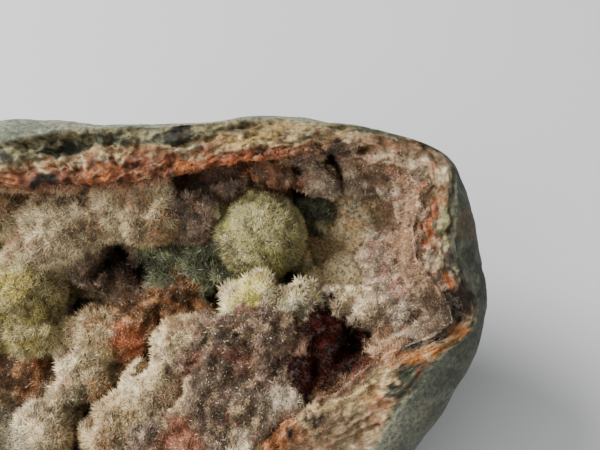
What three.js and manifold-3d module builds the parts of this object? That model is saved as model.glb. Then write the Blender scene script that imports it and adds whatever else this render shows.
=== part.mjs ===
// An aragonite geode: a smooth weathered stone, broken open at the front, with a hollow that is
// lined with one crust of round needle clusters.
//
// All shapes are drawn in the face frame, in millimetres. It looks square on at the broken side:
// x runs to the right, y up and z out of the hollow, towards the eye. The whole specimen is then
// leaned back to the way it lies on a table, resting on a worn flat under its belly.

import * as THREE from "three";
import { mergeVertices } from "three/addons/utils/BufferGeometryUtils.js";
import Module from "manifold-3d";

const DEGREE = Math.PI / 180;

// How the specimen lies: the face frame's z axis leans this far forward from straight up
const FACE_LEAN = 40 * DEGREE;
// The worn flat that it rests on is this far above what would be its lowest point
const BASE_WEAR = 3.5;

// The stone: its widest outline, its middle, and how far it bulges in front and behind
const STONE_MIDDLE = new THREE.Vector3(-24, -19, -2);
const FRONT_BULGE = 20;
const BACK_BULGE = 36;
const STONE_OUTLINE = [
  [28.3, -9.5], [28, -13.5], [26.8, -18.5], [24.2, -23.5], [20.8, -29], [16.8, -35], [11, -42],
  [3, -48.5], [-7, -53], [-19, -55.5], [-31, -55.8], [-43, -53.5], [-54, -48.5], [-63, -40.5],
  [-69.5, -30.5], [-73, -19], [-73.5, -8], [-71, 0.5], [-65.5, 7.5], [-58, 12.3], [-51, 14.8],
  [-44, 15.9], [-37.5, 15.8], [-30, 15.3], [-22.5, 15.3], [-13, 15.8], [-4.5, 16.1], [4.5, 15.6],
  [13.5, 14.3], [18.6, 12.8], [22.8, 10.3], [25, 6.2], [26.3, 1.5], [27.5, -4],
];
const SKIN_SWELL = 0.5; // slow unevenness of the weathered skin
const SKIN_WEAR = 0.22; // finer unevenness

// The broken face: its height at the top edge, how much further forward it comes lower down, over
// what drop, and the places where it dips or rises, each [x, y, height, spread]
const BREAK_TOP = 2;
const BREAK_RISE = 10;
const BREAK_DROP = 30;
const BREAK_TOP_Y = 15;
const BREAK_SWELLS = [
  [-44, 15, 5, 13],
  [21, 11, -2.2, 6],
  [27, -14, -4.5, 6],
  [8, 13, -1.2, 5],
];
const BREAK_ROUGHNESS = 0.9;

// Width of the broken rim between skin and hollow, as [direction in degrees, width]
const RIM_WIDTHS = [
  [-160, 7], [-125, 7.5], [-90, 7.5], [-60, 9.5], [-45, 11], [-32, 12], [-21, 12], [-15, 10.4],
  [-6, 8.4], [3, 7.2], [6, 4], [12, 4], [20, 5.2], [28, 5.8], [45, 5.4], [60, 6.5], [90, 7],
  [120, 6.4], [150, 7], [180, 7.5],
];

// The hollow: the depth to which its walls curve in, the height of its floor, with the places
// where that dips or rises, each [x, y, height, spread], and how softly wall and floor meet
const WALL_DEPTH = -27;
const FLOOR_LEVEL = -9.5;
const FLOOR_SWELLS = [
  [7, 0, -12.5, 9.5],
  [-19, -9, -5, 8],
  [-29, -8, -3, 6],
  [-8, -23, 6, 11],
  [-36, -36, 5, 13],
  [-58, -20, 1.5, 10],
];
const FLOOR_SOFTNESS = 3;
// How far the hollow reaches back under the rim, which is more at the top, where the
// iron-stained ledge overhangs it
const UNDERCUT = 1.4;
const TOP_UNDERCUT = 2.6;
const FULL_UNDERCUT_WIDTH = 6.5; // where the rim is narrower than this, it reaches back less

// The crust: thickness of its lining, on the walls and on the floor, how far it thins out towards
// its lip, and the gap that keeps it clear of the stone
const LINING = 2.2;
const FLOOR_LINING = 4.8;
const LINING_SWELL = 0.7;
const LIP_DROP = 2.6;
const CRUST_GAP = 0.3;
// How much larger than drawn the clusters have grown into each other
const CLUSTER_GROWTH = 1.17;

// The needle clusters, measured to the needles' tips, each [x, y, z, radius]
const CLUSTERS = {
  cream: [
    [-35.7, 5, -3, 4.5], [-36.2, -0.6, -2, 6.2], [-40.4, -3.6, -2.6, 4], [-28.8, 3, -3, 5.7],
    [-22.4, 5.8, -1.2, 4.2], [-17, -18, 1, 4.4], [-21.6, -24.4, 1.4, 5], [-33.6, -24, -3, 4.9],
    [-38.4, -31, 1, 5.2], [-53, 3, -4, 5.9], [-37, -39, 3.6, 5.4], [-17, -38.6, 5.4, 5.2],
  ],
  tan: [
    [-22.2, 0.4, -0.4, 3.8], [-31.6, -18, -5.6, 5.3], [-45, 1.6, -7, 5.4], [-27.4, -30, 2.4, 5],
    [-59, -24, -1, 5.9], [-47.6, -31, 0.6, 5.8], [-27, -38, 4.6, 5.2],
  ],
  mauve: [
    [-16.3, 1.4, -3, 4.2], [-33.2, -5.8, -4.2, 3.9], [-27.4, -10.2, -10, 4],
    [-12, 6.8, -6.4, 4.2], [-22, -32, 4, 4],
  ],
  sulphur: [
    [-6, -1.7, -5, 6.5], [-42.2, -10, -4, 5.6], [-41, -16.4, -4.8, 4.8], [-53, -15, -3.6, 6.4],
    [-61, -12, -2.4, 5],
  ],
  teal: [
    [-20.6, -6.6, -9, 4.2], [-15, -6.2, -8.6, 4.8], [-12.3, -1.2, -5.4, 3.2],
    [2, 3, -15, 3.6],
  ],
  rust: [
    [-20, -12.2, -8.6, 5], [-26.4, -16.8, -4.8, 4.7], [-41.4, -23, -6.6, 5],
    [-4.2, 8.4, -5.4, 4],
  ],
  crest: [[-5, -10.4, 1.6, 4.1], [-9.8, -12.8, 1.4, 3.8], [-0.4, -12, 1, 3.8]],
  purple: [
    [-11.6, -16.4, 1.8, 4.9], [-5.4, -16.8, 2.4, 6], [-12.6, -22, 3, 5.8],
    [-6.4, -25.4, 4.2, 6], [-14, -30, 5, 5.2], [-0.6, -21, 3, 4.4],
  ],
  darkRed: [[4.2, -17.4, 1.8, 4.7], [3, -22, 3, 4.3]],
  whitePink: [
    [16, -7, -8, 6.2], [18.8, -11, -4.6, 5.8], [12.6, -13.4, -5, 5], [7, -13.4, -3.6, 3.9],
    [9.4, -17.6, -1.6, 4.6], [19.6, -3.4, -1.8, 4.2], [15, 8.6, -1.2, 3.6],
    [18.4, 3.6, -1.6, 4.2], [11, 8.2, -6, 4.6], [1.2, 9.4, -4.8, 3.8], [-1.8, -27, 5, 4],
    [-7.4, -33, 6, 4.4],
  ],
  deepTan: [
    [7.4, -8.4, -14, 4.1], [8, 7, -13, 2.8], [8.6, 1.6, -19, 6], [12.6, -3.6, -15.4, 5],
  ],
};
const SPIKE_SHARE = 0.17; // how far the coarse spikes stand out, as a share of the radius

// Facets, which stand closer together round the sharply curved right end
const AROUND = 44;
const CROWDING = 0.3;
const HOLLOW_ROWS = 8;
const RIM_ROWS = 5;
const SKIN_ROWS = 12;
const VOID_ROWS = 7;
const LARGE_RADIUS = 6;
const LARGE_DETAIL = 2;
const SMALL_DETAIL = 1;

// Smooth unevenness from -1 to 1 that repeats on no visible scale
function swell(x, y, z, size) {
  const a = x / size;
  const b = y / size;
  const c = z / size;
  const first = Math.sin(1.7 * a + 2.1 * Math.sin(1.1 * b + 0.7 * c));
  const second = Math.sin(1.9 * b + 1.7 * Math.sin(1.3 * c + 0.9 * a));
  const third = Math.sin(1.6 * c + 1.9 * Math.sin(1.2 * a + 0.8 * b));
  return (first + second + third) / 3;
}

// A fixed number from 0 to 1 for each whole number
function scatter(index) {
  const wave = Math.sin(index * 12.9898 + 4.1414) * 43758.5453;
  return wave - Math.floor(wave);
}

// Distance from the stone's middle to its widest outline, for any direction
function outlineRadius() {
  const corners = STONE_OUTLINE.map(([x, y]) => new THREE.Vector3(x, y, 0));
  const curve = new THREE.CatmullRomCurve3(corners, true, "centripetal");
  const steps = 720;
  const polar = curve.getPoints(steps).slice(0, steps).map((point) => {
    const dx = point.x - STONE_MIDDLE.x;
    const dy = point.y - STONE_MIDDLE.y;
    return [Math.atan2(dy, dx), Math.hypot(dx, dy)];
  });
  return interpolator(polar);
}

// A periodic function of direction through [radians, value] pairs
function interpolator(pairs) {
  const sorted = [...pairs].sort((p, q) => p[0] - q[0]);
  const first = sorted[0];
  const last = sorted[sorted.length - 1];
  const ring = [[last[0] - 2 * Math.PI, last[1]], ...sorted, [first[0] + 2 * Math.PI, first[1]]];
  return (angle) => {
    const turned = Math.atan2(Math.sin(angle), Math.cos(angle));
    const next = ring.findIndex((pair) => pair[0] > turned);
    const [a0, v0] = ring[next - 1];
    const [a1, v1] = ring[next];
    return v0 + ((v1 - v0) * (turned - a0)) / (a1 - a0);
  };
}

const outline = outlineRadius();
const rimWidth = interpolator(
  RIM_WIDTHS.map(([direction, width]) => [direction * DEGREE, width]),
);

// Height of the broken face over a place in the face frame
function breakHeight(x, y) {
  const drop = Math.max(0, BREAK_TOP_Y - y);
  const slope = BREAK_TOP + BREAK_RISE * (1 - Math.exp(-drop / BREAK_DROP));
  return swelled(slope, BREAK_SWELLS, x, y);
}

function swelled(level, swells, x, y) {
  return swells.reduce(
    (height, [cx, cy, rise, spread]) =>
      height + rise * Math.exp(-((x - cx) ** 2 + (y - cy) ** 2) / spread ** 2),
    level,
  );
}

function fromMiddle(angle, radius, z) {
  return new THREE.Vector3(
    STONE_MIDDLE.x + radius * Math.cos(angle),
    STONE_MIDDLE.y + radius * Math.sin(angle),
    z,
  );
}

// A point of the smooth skin. Latitude 0 is the widest outline, and 90 degrees the front.
function skinPoint(angle, latitude) {
  const bulge = latitude > 0 ? FRONT_BULGE : BACK_BULGE;
  const z = STONE_MIDDLE.z + bulge * Math.sin(latitude);
  return fromMiddle(angle, outline(angle) * Math.cos(latitude), z);
}

// The latitude at which the skin meets the broken face
function edgeLatitude(angle) {
  let latitude = 0.2;
  for (let pass = 0; pass < 16; pass++) {
    const point = skinPoint(angle, latitude);
    const share = (breakHeight(point.x, point.y) - STONE_MIDDLE.z) / FRONT_BULGE;
    latitude = (latitude + Math.asin(THREE.MathUtils.clamp(share, 0, 0.95))) / 2;
  }
  return latitude;
}

// Distances from the middle to the rim's outer edge and to the hollow's mouth
function rimRadii(angle) {
  const outer = outline(angle) * Math.cos(edgeLatitude(angle));
  return { outer, mouth: outer - rimWidth(angle) };
}

// A point of the hollow's surface. Share 0 is its mouth and 1 the middle of its floor; inset and
// lift move the wall inwards and the floor up.
function hollowPoint(angle, share, inset, lift) {
  const { outer, mouth } = rimRadii(angle);
  const edge = fromMiddle(angle, mouth, 0);
  const rimHeight = breakHeight(edge.x, edge.y);
  const turn = share * 90 * DEGREE;
  const upward = Math.max(0, Math.sin(angle));
  const thinness = Math.min(1, (outer - mouth) / FULL_UNDERCUT_WIDTH);
  const reach = thinness * (UNDERCUT + TOP_UNDERCUT * upward);
  const belly = reach * Math.sin(Math.PI * Math.min(1, share / 0.55));
  const radius = share === 1 ? 0 : (mouth - inset) * Math.cos(turn) ** 0.7 + belly;
  const point = fromMiddle(angle, radius, 0);
  const wall = rimHeight + (WALL_DEPTH - rimHeight) * Math.sin(turn);
  const floor = floorHeight(point.x, point.y) + lift;
  const above = wall - floor;
  const softened = floor + (above + Math.hypot(above, FLOOR_SOFTNESS)) / 2;
  point.z = share === 0 ? rimHeight : softened;
  return point;
}

// A point of the crust's outside, which stays clear of the hollow's surface
function crustBackPoint(angle, share) {
  if (share === 0) return hollowPoint(angle, share, CRUST_GAP, 0);
  if (share === 1) return hollowPoint(angle, share, 0, 1.3 * CRUST_GAP);
  const step = 0.01;
  const inward = hollowPoint(angle, share + step, 0, 0).sub(hollowPoint(angle, share - step, 0, 0));
  const onward = hollowPoint(angle + step, share, 0, 0).sub(hollowPoint(angle - step, share, 0, 0));
  const clear = onward.cross(inward).normalize().multiplyScalar(CRUST_GAP);
  return hollowPoint(angle, share, 0, 0).add(clear);
}

// Height of the hollow's floor over a place in the face frame
function floorHeight(x, y) {
  return swelled(FLOOR_LEVEL, FLOOR_SWELLS, x, y);
}

// A sphere whose rows are moved by place(angle, row), from the pole at the front (row 0) to the
// pole behind
function shapedSphere(around, rows, place) {
  const sphere = new THREE.SphereGeometry(1, around, rows);
  sphere.deleteAttribute("normal");
  sphere.deleteAttribute("uv");
  sphere.rotateX(90 * DEGREE);
  const position = sphere.getAttribute("position");
  for (let i = 0; i < position.count; i++) {
    const x = position.getX(i);
    const y = position.getY(i);
    const z = THREE.MathUtils.clamp(position.getZ(i), -1, 1);
    const row = Math.round((Math.acos(z) / Math.PI) * rows);
    const station = row === 0 || row === rows ? 0 : Math.atan2(y, x);
    const moved = place(station - CROWDING * Math.sin(station), row);
    position.setXYZ(i, moved.x, moved.y, moved.z);
  }
  return mergeVertices(sphere, 1e-3);
}

// The stone: rows run up the hollow's wall, across the broken rim and down the skin
function stoneGeometry() {
  const rimStart = HOLLOW_ROWS;
  const skinStart = HOLLOW_ROWS + RIM_ROWS;
  const rows = skinStart + SKIN_ROWS;
  return shapedSphere(AROUND, rows, (angle, row) => {
    if (row <= rimStart) return hollowPoint(angle, 1 - row / HOLLOW_ROWS, 0, 0);
    if (row < skinStart) return brokenPoint(angle, (row - rimStart) / RIM_ROWS);
    const share = (row - skinStart) / SKIN_ROWS;
    const edge = edgeLatitude(angle);
    return weathered(skinPoint(angle, edge - share * (edge + 90 * DEGREE)));
  });
}

// A point of the broken rim, from the hollow's mouth (share 0) to the skin (share 1)
function brokenPoint(angle, share) {
  const { outer, mouth } = rimRadii(angle);
  const point = fromMiddle(angle, mouth + (outer - mouth) * share, 0);
  const chips = swell(point.x, point.y, 4, 0.9) + 0.6 * swell(point.y, point.x, 9, 0.4);
  const ledge = Math.sin(share * 2 * Math.PI + 1.5 * swell(point.x, point.y, 0, 3));
  point.z = breakHeight(point.x, point.y) + BREAK_ROUGHNESS * (0.6 * chips - 0.5 * ledge);
  return point;
}

function weathered(point) {
  const away = point.clone().sub(STONE_MIDDLE).normalize();
  const slow = SKIN_SWELL * swell(point.x, point.y, point.z, 9);
  const fine = SKIN_WEAR * swell(point.z, point.x, point.y, 2.6);
  return point.addScaledVector(away, slow + fine);
}

// Everything that the crust may fill: the hollow, less the gap, and the space in front of its
// mouth. Its rows run as the stone's do, so that the facets on both sides of the gap match.
function crustSpace() {
  const front = 30;
  const rows = HOLLOW_ROWS + 2;
  return insideOut(shapedSphere(AROUND, rows, (angle, row) => {
    const edge = hollowPoint(angle, 0, CRUST_GAP, 0);
    if (row === rows) return fromMiddle(angle, 0, front);
    if (row === rows - 1) return new THREE.Vector3(edge.x, edge.y, front);
    return crustBackPoint(angle, 1 - row / HOLLOW_ROWS);
  }));
}

function insideOut(geometry) {
  const index = geometry.index.array;
  for (let i = 0; i < index.length; i += 3) {
    [index[i], index[i + 1]] = [index[i + 1], index[i]];
  }
  return geometry;
}

// The empty space inside the lining, without the clusters, and wide of the mouth in front
function spaceInsideLining() {
  const front = 40;
  const wide = 6;
  const rows = VOID_ROWS + 3;
  return shapedSphere(AROUND, rows, (angle, row) => {
    const { mouth } = rimRadii(angle);
    const lip = hollowPoint(angle, 0, LINING, 0);
    if (row === 0) return fromMiddle(angle, 0, front);
    if (row === 1) return fromMiddle(angle, mouth + wide, front);
    if (row === 2) return fromMiddle(angle, mouth + wide, lip.z + LIP_DROP);
    const point = row === 3 ? lip : hollowPoint(angle, (row - 3) / VOID_ROWS, LINING, FLOOR_LINING);
    if (row === 3) point.z -= LIP_DROP;
    const unevenness = LINING_SWELL * swell(point.x, point.y, point.z, 1.7);
    point.z += row === rows ? 0 : unevenness;
    return point;
  });
}

// One cluster of needles, as a ball with coarse spikes
function clusterGeometry([x, y, z, radius], seed) {
  const detail = radius < LARGE_RADIUS ? SMALL_DETAIL : LARGE_DETAIL;
  const ball = new THREE.IcosahedronGeometry(1, detail);
  ball.deleteAttribute("normal");
  ball.deleteAttribute("uv");
  const merged = mergeVertices(ball, 1e-3);
  const position = merged.getAttribute("position");
  for (let i = 0; i < position.count; i++) {
    const reach = CLUSTER_GROWTH * radius * (1 - SPIKE_SHARE * scatter(i + 97 * seed));
    position.setXYZ(
      i,
      x + reach * position.getX(i),
      y + reach * position.getY(i),
      z + reach * position.getZ(i),
    );
  }
  return merged;
}

// Leans a geometry from the face frame to the way the specimen lies
function leaned(geometry) {
  return geometry.applyMatrix4(new THREE.Matrix4().makeRotationX(FACE_LEAN));
}

// Wears the stone flat underneath, and returns the height of the flat
function wearBase(geometry) {
  geometry.computeBoundingBox();
  const flat = Math.fround(geometry.boundingBox.min.z + BASE_WEAR);
  const position = geometry.getAttribute("position");
  for (let i = 0; i < position.count; i++) {
    position.setZ(i, Math.max(flat, position.getZ(i)));
  }
  return flat;
}

const wasm = await Module();
wasm.setup();

function solidOf(geometry) {
  return new wasm.Manifold(
    new wasm.Mesh({
      numProp: 3,
      vertProperties: geometry.getAttribute("position").array,
      triVerts: new Uint32Array(geometry.index.array),
    }),
  );
}

function geometryOf(solid) {
  const mesh = solid.getMesh();
  const geometry = new THREE.BufferGeometry();
  geometry.setAttribute("position", new THREE.BufferAttribute(mesh.vertProperties, 3));
  geometry.setIndex(new THREE.BufferAttribute(mesh.triVerts, 1));
  geometry.computeVertexNormals();
  return geometry;
}

// The crust: the lining with all clusters grown together, cut to the space it may fill
function crustGeometry() {
  const clusters = Object.values(CLUSTERS)
    .flat()
    .map((cluster, seed) => solidOf(clusterGeometry(cluster, seed)))
    .reduce((joined, cluster) => joined.add(cluster));
  const empty = solidOf(spaceInsideLining()).subtract(clusters);
  return geometryOf(outermost(solidOf(crustSpace()).subtract(empty)));
}

// The largest closed surface of a solid: pockets sealed in behind the clusters are filled
function outermost(solid) {
  return solid.decompose().reduce((a, b) => (a.volume() > b.volume() ? a : b));
}

const stone = leaned(stoneGeometry());
const baseHeight = wearBase(stone);
stone.computeVertexNormals();
const crust = leaned(crustGeometry());

const stoneMaterial = new THREE.MeshStandardMaterial({
  color: 0x7f8479,
  roughness: 0.85,
  metalness: 0,
});
const crustMaterial = new THREE.MeshStandardMaterial({
  color: 0xb9a98c,
  roughness: 0.6,
  metalness: 0,
});

const specimen = new THREE.Group();
const hostStone = new THREE.Mesh(stone, stoneMaterial);
hostStone.name = "host_stone";
const crystalCrust = new THREE.Mesh(crust, crustMaterial);
crystalCrust.name = "crystal_crust";
specimen.add(hostStone, crystalCrust);

// The origin is on the flat that it rests on, under the middle of its bounding box
stone.computeBoundingBox();
const middle = stone.boundingBox.getCenter(new THREE.Vector3());
specimen.position.set(-middle.x, -middle.y, -baseHeight);

export default specimen;
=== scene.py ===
"""The looks of the aragonite geode: its weathered skin, its broken rim and the needles that line
its hollow. Shapes are drawn in the face frame in millimetres, as in the part's own source: x to
the right, y up and z out of the hollow, towards the eye."""

import math

import bmesh
import bpy
import numpy as np
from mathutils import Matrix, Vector


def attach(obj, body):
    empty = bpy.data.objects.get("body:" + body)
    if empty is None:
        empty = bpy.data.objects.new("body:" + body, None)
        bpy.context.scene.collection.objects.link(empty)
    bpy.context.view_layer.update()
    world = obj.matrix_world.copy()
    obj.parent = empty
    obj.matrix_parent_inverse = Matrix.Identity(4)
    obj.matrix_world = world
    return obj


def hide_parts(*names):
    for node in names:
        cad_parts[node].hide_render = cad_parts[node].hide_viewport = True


MM = 0.001
RANDOM = np.random.default_rng(11)

# The face frame in the row frame
FACE_LEAN = math.radians(40)
FACE_ORIGIN = np.array([22.987, 11.009, 46.685])
COS, SIN = math.cos(FACE_LEAN), math.sin(FACE_LEAN)
LEAN = np.array([[1, 0, 0], [0, COS, -SIN], [0, SIN, COS]])

# The stone, the broken face and the hollow, as in the part's own source
STONE_MIDDLE = np.array([-24.0, -19.0, -2.0])
FRONT_BULGE = 20
BACK_BULGE = 36
STONE_OUTLINE = [
    [28.3, -9.5], [28, -13.5], [26.8, -18.5], [24.2, -23.5], [20.8, -29], [16.8, -35],
    [11, -42], [3, -48.5], [-7, -53], [-19, -55.5], [-31, -55.8], [-43, -53.5], [-54, -48.5],
    [-63, -40.5], [-69.5, -30.5], [-73, -19], [-73.5, -8], [-71, 0.5], [-65.5, 7.5],
    [-58, 12.3], [-51, 14.8], [-44, 15.9], [-37.5, 15.8], [-30, 15.3], [-22.5, 15.3],
    [-13, 15.8], [-4.5, 16.1], [4.5, 15.6], [13.5, 14.3], [18.6, 12.8], [22.8, 10.3],
    [25, 6.2], [26.3, 1.5], [27.5, -4],
]
SKIN_SWELL = 0.5
SKIN_WEAR = 0.22
BREAK_TOP = 2
BREAK_RISE = 10
BREAK_DROP = 30
BREAK_TOP_Y = 15
BREAK_SWELLS = [[-44, 15, 5, 13], [21, 11, -2.2, 6], [27, -14, -4.5, 6], [8, 13, -1.2, 5]]
RIM_WIDTHS = [
    [-160, 7], [-125, 7.5], [-90, 7.5], [-60, 9.5], [-45, 11], [-32, 12], [-21, 12],
    [-15, 10.4], [-6, 8.4], [3, 7.2], [6, 4], [12, 4], [20, 5.2], [28, 5.8], [45, 5.4],
    [60, 6.5], [90, 7], [120, 6.4], [150, 7], [180, 7.5],
]
WALL_DEPTH = -27
FLOOR_LEVEL = -9.5
FLOOR_SWELLS = [
    [7, 0, -12.5, 9.5], [-19, -9, -5, 8], [-29, -8, -3, 6], [-8, -23, 6, 11],
    [-36, -36, 5, 13], [-58, -20, 1.5, 10],
]
FLOOR_SOFTNESS = 3
UNDERCUT = 1.4
TOP_UNDERCUT = 2.6
FULL_UNDERCUT_WIDTH = 6.5
LINING = 2.2
FLOOR_LINING = 4.8
LIP_DROP = 2.2
LIP_BEVEL = 0.6

# Where the scene's crust differs from the plain lining above
GRIP = 0.25  # how far it reaches into the stone round it
THICK_LINING = [-14, 22, 3.4]  # on the wall: a direction in degrees, its spread, and how much more
THIN_LINING = [12, 18, 2.0]  # on the floor: the depths between which it thins, and how much
LEAST_LINING = 1.8
FLUSH = [12, 44]  # where it comes up to the rim: a direction in degrees and its spread
FLUSH_RISE = 1.6
FLUSH_LEVEL = 0.8  # how much of the lip's bevel is lost there

# The needle clusters, each [x, y, z, radius]
CLUSTERS = {
    "cream": [
        [-35.7, 5, -3, 4.5], [-36.2, -0.6, -2, 6.2], [-40.4, -3.6, -2.6, 4],
        [-28.8, 3, -3, 5.7], [-22.4, 5.8, -1.2, 4.2], [-17, -18, 1, 4.4],
        [-21.6, -24.4, 1.4, 5], [-33.6, -24, -3, 4.9], [-38.4, -31, 1, 5.2],
        [-53, 3, -4, 5.9], [-37, -39, 3.6, 5.4], [-17, -38.6, 5.4, 5.2],
    ],
    "tan": [
        [-22.2, 0.4, -0.4, 3.8], [-31.6, -18, -5.6, 5.3], [-45, 1.6, -7, 5.4],
        [-27.4, -30, 2.4, 5], [-59, -24, -1, 5.9], [-47.6, -31, 0.6, 5.8], [-27, -38, 4.6, 5.2],
    ],
    "mauve": [
        [-16.3, 1.4, -3, 4.2], [-33.2, -5.8, -4.2, 3.9], [-27.4, -10.2, -10, 4],
        [-12, 6.8, -6.4, 4.2], [-22, -32, 4, 4],
    ],
    "olive": [[-6, -1.7, -5, 6.5]],
    "sulphur": [
        [-42.2, -10, -4, 5.6], [-41, -16.4, -4.8, 4.8], [-53, -15, -3.6, 6.4], [-61, -12, -2.4, 5],
    ],
    "teal": [
        [-20.6, -6.6, -9, 4.2], [-15, -6.2, -8.6, 4.8], [-12.3, -1.2, -5.4, 3.2],
        [2, 3, -15, 3.6],
    ],
    "rust": [
        [-20, -12.2, -8.6, 5], [-26.4, -16.8, -4.8, 4.7], [-41.4, -23, -6.6, 5],
        [-4.2, 8.4, -5.4, 4],
    ],
    "crest": [[-5, -11, 1.6, 4.1], [-9.8, -12.8, 1.4, 3.8], [-0.4, -12, 1, 3.8]],
    "purple": [
        [-11.6, -16.4, 1.8, 4.9], [-5.4, -16.8, 2.4, 6], [-12.6, -22, 3, 5.8],
        [-6.4, -25.4, 4.2, 6], [-14, -30, 5, 5.2], [-0.6, -21, 3, 4.4],
    ],
    "darkRed": [[3.8, -18, 2.8, 4.8], [2.6, -22.2, 4.2, 4.6]],
    "whitePink": [
        [16, -7, -8, 6.2], [18.8, -11, -4.6, 5.8], [12.6, -13.4, -5, 5], [7, -13.4, -3.6, 3.9],
        [9.4, -17.6, -1.6, 4.6], [19.6, -3.4, -1.8, 4.2], [15, 8.6, -1.2, 3.6],
        [18.4, 3.6, -1.6, 4.2], [11, 8.2, -6, 4.6], [1.2, 9.4, -4.8, 3.8], [-1.8, -27, 5, 4],
        [-7.4, -33, 6, 4.4],
    ],
    "deepTan": [
        [7.4, -8.4, -12.6, 4.1], [8, 7, -13, 2.8], [8.6, 1.6, -19, 6], [12.6, -3.6, -15.4, 5],
    ],
}

# The colours of each kind: two main ones, its spots, its shade and its palest
COLOURS = {
    "cream": [(206, 186, 152), (184, 156, 124), (168, 124, 92), (112, 90, 68), (232, 220, 190)],
    "tan": [(190, 164, 126), (162, 132, 102), (160, 114, 80), (92, 74, 56), (224, 208, 174)],
    "mauve": [(120, 98, 86), (98, 80, 70), (136, 98, 76), (54, 43, 37), (182, 162, 142)],
    "olive": [(168, 160, 116), (128, 120, 76), (162, 156, 84), (74, 70, 44), (202, 196, 160)],
    "sulphur": [(168, 156, 116), (146, 136, 100), (182, 166, 98), (88, 79, 54), (212, 200, 158)],
    "teal": [(96, 102, 82), (68, 76, 64), (148, 144, 98), (32, 35, 27), (186, 186, 152)],
    "rust": [(144, 94, 62), (112, 80, 54), (168, 88, 60), (50, 32, 22), (204, 160, 124)],
    "crest": [(208, 196, 160), (202, 190, 132), (192, 184, 98), (134, 110, 84), (240, 234, 212)],
    "purple": [(104, 78, 76), (79, 64, 55), (106, 60, 50), (38, 31, 25), (176, 154, 126)],
    "darkRed": [(26, 12, 10), (15, 9, 8), (50, 19, 15), (8, 5, 5), (44, 22, 18)],
    "whitePink": [(198, 174, 144), (172, 138, 114), (130, 66, 50), (90, 64, 50), (234, 224, 204)],
    # deepTan is painted paler than its crystals are, as painted light in the deep, shaded pocket
    "deepTan": [
        (250, 226, 188), (240, 208, 166), (244, 214, 170), (222, 186, 144), (252, 234, 204),
    ],
}
# The shape of each kind: how lumpy it is, how softly it grows into the clusters beside it, its
# needles' length and width in millimetres, how many it has for its area, how far they lean at
# random and how far they spray out from the middle of their tuft, which also sets how dark the
# painted shade at their feet is
SHAPES = {
    "cream": [0.8, 1.4, 0.7, 0.17, 1.0, 0.55, 0.7],
    "tan": [0.8, 1.4, 0.8, 0.17, 1.0, 0.45, 0.9],
    "mauve": [0.9, 1.4, 0.7, 0.17, 1.0, 0.5, 0.9],
    "olive": [0.22, 0.5, 0.6, 0.18, 1.5, 0.7, 0.4],
    "sulphur": [0.8, 1.4, 0.7, 0.18, 1.1, 0.55, 0.7],
    "teal": [1.2, 1.2, 1.2, 0.21, 1.0, 0.6, 1.1],
    "rust": [1.5, 1.6, 0.42, 0.2, 1.0, 0.9, 1.0],
    "crest": [0.8, 1.2, 0.9, 0.18, 1.1, 0.55, 0.6],
    "purple": [1.5, 1.6, 0.45, 0.2, 1.2, 0.9, 1.1],
    "darkRed": [1.5, 1.2, 0.7, 0.22, 1.1, 0.6, 1.2],
    "whitePink": [1.3, 1.8, 0.5, 0.19, 1.2, 0.9, 1.1],
    "deepTan": [0.12, 0.3, 0.2, 0.15, 0.35, 0.4, 0.1],
}
KIND_NAMES = list(COLOURS)
TIP_REACH = 1.1  # where the needles' tips end, as a share of a cluster's drawn radius
TUFTS = (1.7, 9)  # the needles' tufts: their width and their salt

# Stained places on the crust, and patches of painted shade and painted light, each its colour and
# [x, y, radius]
STAINS_SHADE_AND_LIGHT = [
    [(46, 20, 16), [2.6, -20.4, 3.6]], [(56, 22, 18), [0.2, -12.8, 2.2]],
    [(58, 49, 40), [-10.4, -17.7, 2.8]], [(190, 182, 112), [-6.6, -9.8, 1.7]],
    [(192, 180, 160), [-2.9, -24.6, 2.6]], [(150, 100, 80), [-16.5, -30.2, 3.0]],
    [(158, 92, 66), [-26.0, -18.4, 2.2]], [(176, 162, 102), [-42.8, -8.8, 2.6]],
    [(78, 78, 60), [-33.7, -26.0, 2.4]], [(172, 168, 152), [-43.5, -31.5, 4.6]],
    # (252, 232, 196) below is painted light on the tan ball deep in the pocket
    [(80, 63, 50), [-44.4, -23.6, 2.6]], [(252, 232, 196), [7.2, -8.0, 3.2]],
    [(100, 78, 64), [-4.2, 8.6, 4.4]], [(214, 194, 166), [9.6, -12.8, 2.4]],
    [(206, 186, 158), [6.4, -11.8, 1.7]], [(156, 126, 106), [-0.4, -17.2, 1.8]],
    # (92, 72, 56) below is painted shade in a crevice between clusters
    [(196, 166, 138), [12.0, -17.2, 2.6]], [(92, 72, 56), [12.8, 1.2, 2.2]],
    # (84, 66, 52) below is painted shade under the rim at the top right
    [(84, 66, 52), [12.4, 8.2, 3.4]], [(84, 66, 54), [6.2, -23.4, 1.6]],
    [(118, 88, 62), [-18.6, -14.0, 2.4]], [(66, 52, 38), [-18.8, -9.9, 2.2]],
    # painted light in the crease between a cream and a purple cluster
    [(196, 172, 146), [-17.8, -23.8, 2.2]],
]

# Dark gaps between the clusters, each [x, y, radius, bottom]
GAPS = [
    [-28.6, -4.8, 1.9, -11.5], [-31.2, -6.8, 1.3, -10], [-26.2, -7.6, 1.7, -12],
    [-24.0, -6.4, 1.5, -12], [-13, -11, 2.1, -13], [-14.2, -10.4, 1.6, -12],
    [-2.2, -8.2, 1.9, -14], [-0.6, 5.8, 2.0, -16], [5.4, 10.6, 1.9, -12], [-38, -21.5, 1.6, -8],
    [-31.5, -27.4, 1.7, -6], [-22.5, -20.4, 1.6, -7], [10.4, -16.2, 1.3, -6],
    [23.4, -12.8, 2.4, -6], [-46.5, -4.5, 2.2, -11], [-50, -23.5, 2.0, -7],
]
# The crevice under the iron-stained ledge: its two ends in degrees, its width and depth
CREVICE = [53, 87, 3.4, 10]

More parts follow.
